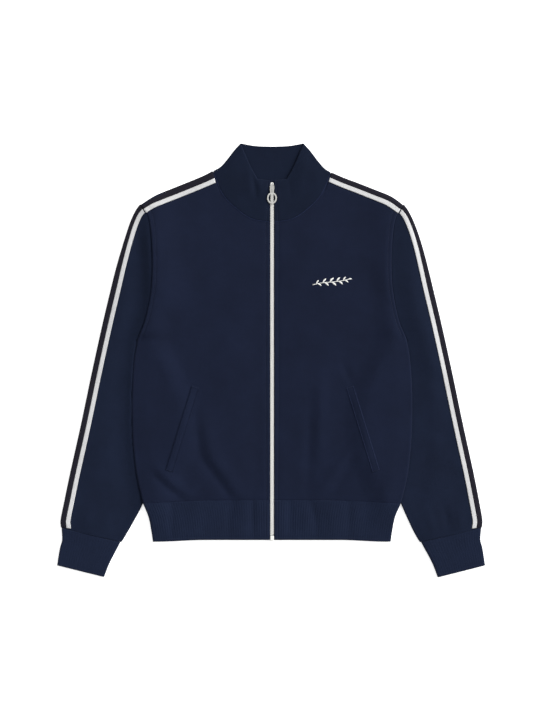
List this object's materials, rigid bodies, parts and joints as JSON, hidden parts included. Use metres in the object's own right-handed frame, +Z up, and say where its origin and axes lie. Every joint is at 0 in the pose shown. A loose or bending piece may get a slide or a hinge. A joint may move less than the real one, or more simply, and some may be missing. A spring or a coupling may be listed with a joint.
{
  "type": "full-zip knitted cardigan, laid flat",
  "caption": "Fine-knit full-zip cardigan with a stand collar, long sleeves, side-striped shoulders and sleeves, slanted welt pockets and ribbed cuffs and waistband, laid flat on its back.",
  "frame": {"origin": "on the surface it lies on, below the middle of its outline", "axes": "+Z up from the surface, +Y towards the collar, +X towards the wearer's left side, which is the viewer's right"},
  "size_m": [0.7676, 0.7782, 0.013],
  "materials": {
    "body_knit": "fine navy double knit, matt",
    "collar_knit": "plain navy knit, matt",
    "rib_knit": "navy two by two rib, matt",
    "charcoal_band": "near-black knitted band, matt",
    "white_tape": "white knitted tape, matt",
    "zip_tape": "navy woven zip tape",
    "zip_teeth": "white moulded plastic, satin",
    "slider_metal": "nickel-plated zinc, satin"
  },
  "bodies": {
    "garment": {"back": "body_knit", "front_left": "body_knit", "front_right": "body_knit", "sleeve_left": "body_knit", "sleeve_right": "body_knit", "pocket_welt_left": "body_knit", "pocket_welt_right": "body_knit", "collar": "collar_knit", "cuff_left": "rib_knit", "cuff_right": "rib_knit", "waistband": "rib_knit", "shoulder_band_left": "charcoal_band", "shoulder_band_right": "charcoal_band", "sleeve_band_left": "charcoal_band", "sleeve_band_right": "charcoal_band", "shoulder_tape_left": "white_tape", "shoulder_tape_right": "white_tape", "sleeve_tape_left": "white_tape", "sleeve_tape_right": "white_tape", "zip_tape_left": "zip_tape", "zip_tape_right": "zip_tape", "zip_chain": "zip_teeth", "zip_stop_left": "zip_teeth", "zip_stop_right": "zip_teeth", "zip_box": "zip_teeth", "zip_slider": "slider_metal"},
    "pull": {"zip_pull": "slider_metal"}
  },
  "joints": [
    {"name": "pull_swing", "type": "hinge", "parent": "garment", "child": "pull", "pos_m": [0, 0.30725, 0.0087], "axis": [-1, 0, 0], "range_deg": [0, 180]}
  ]
}
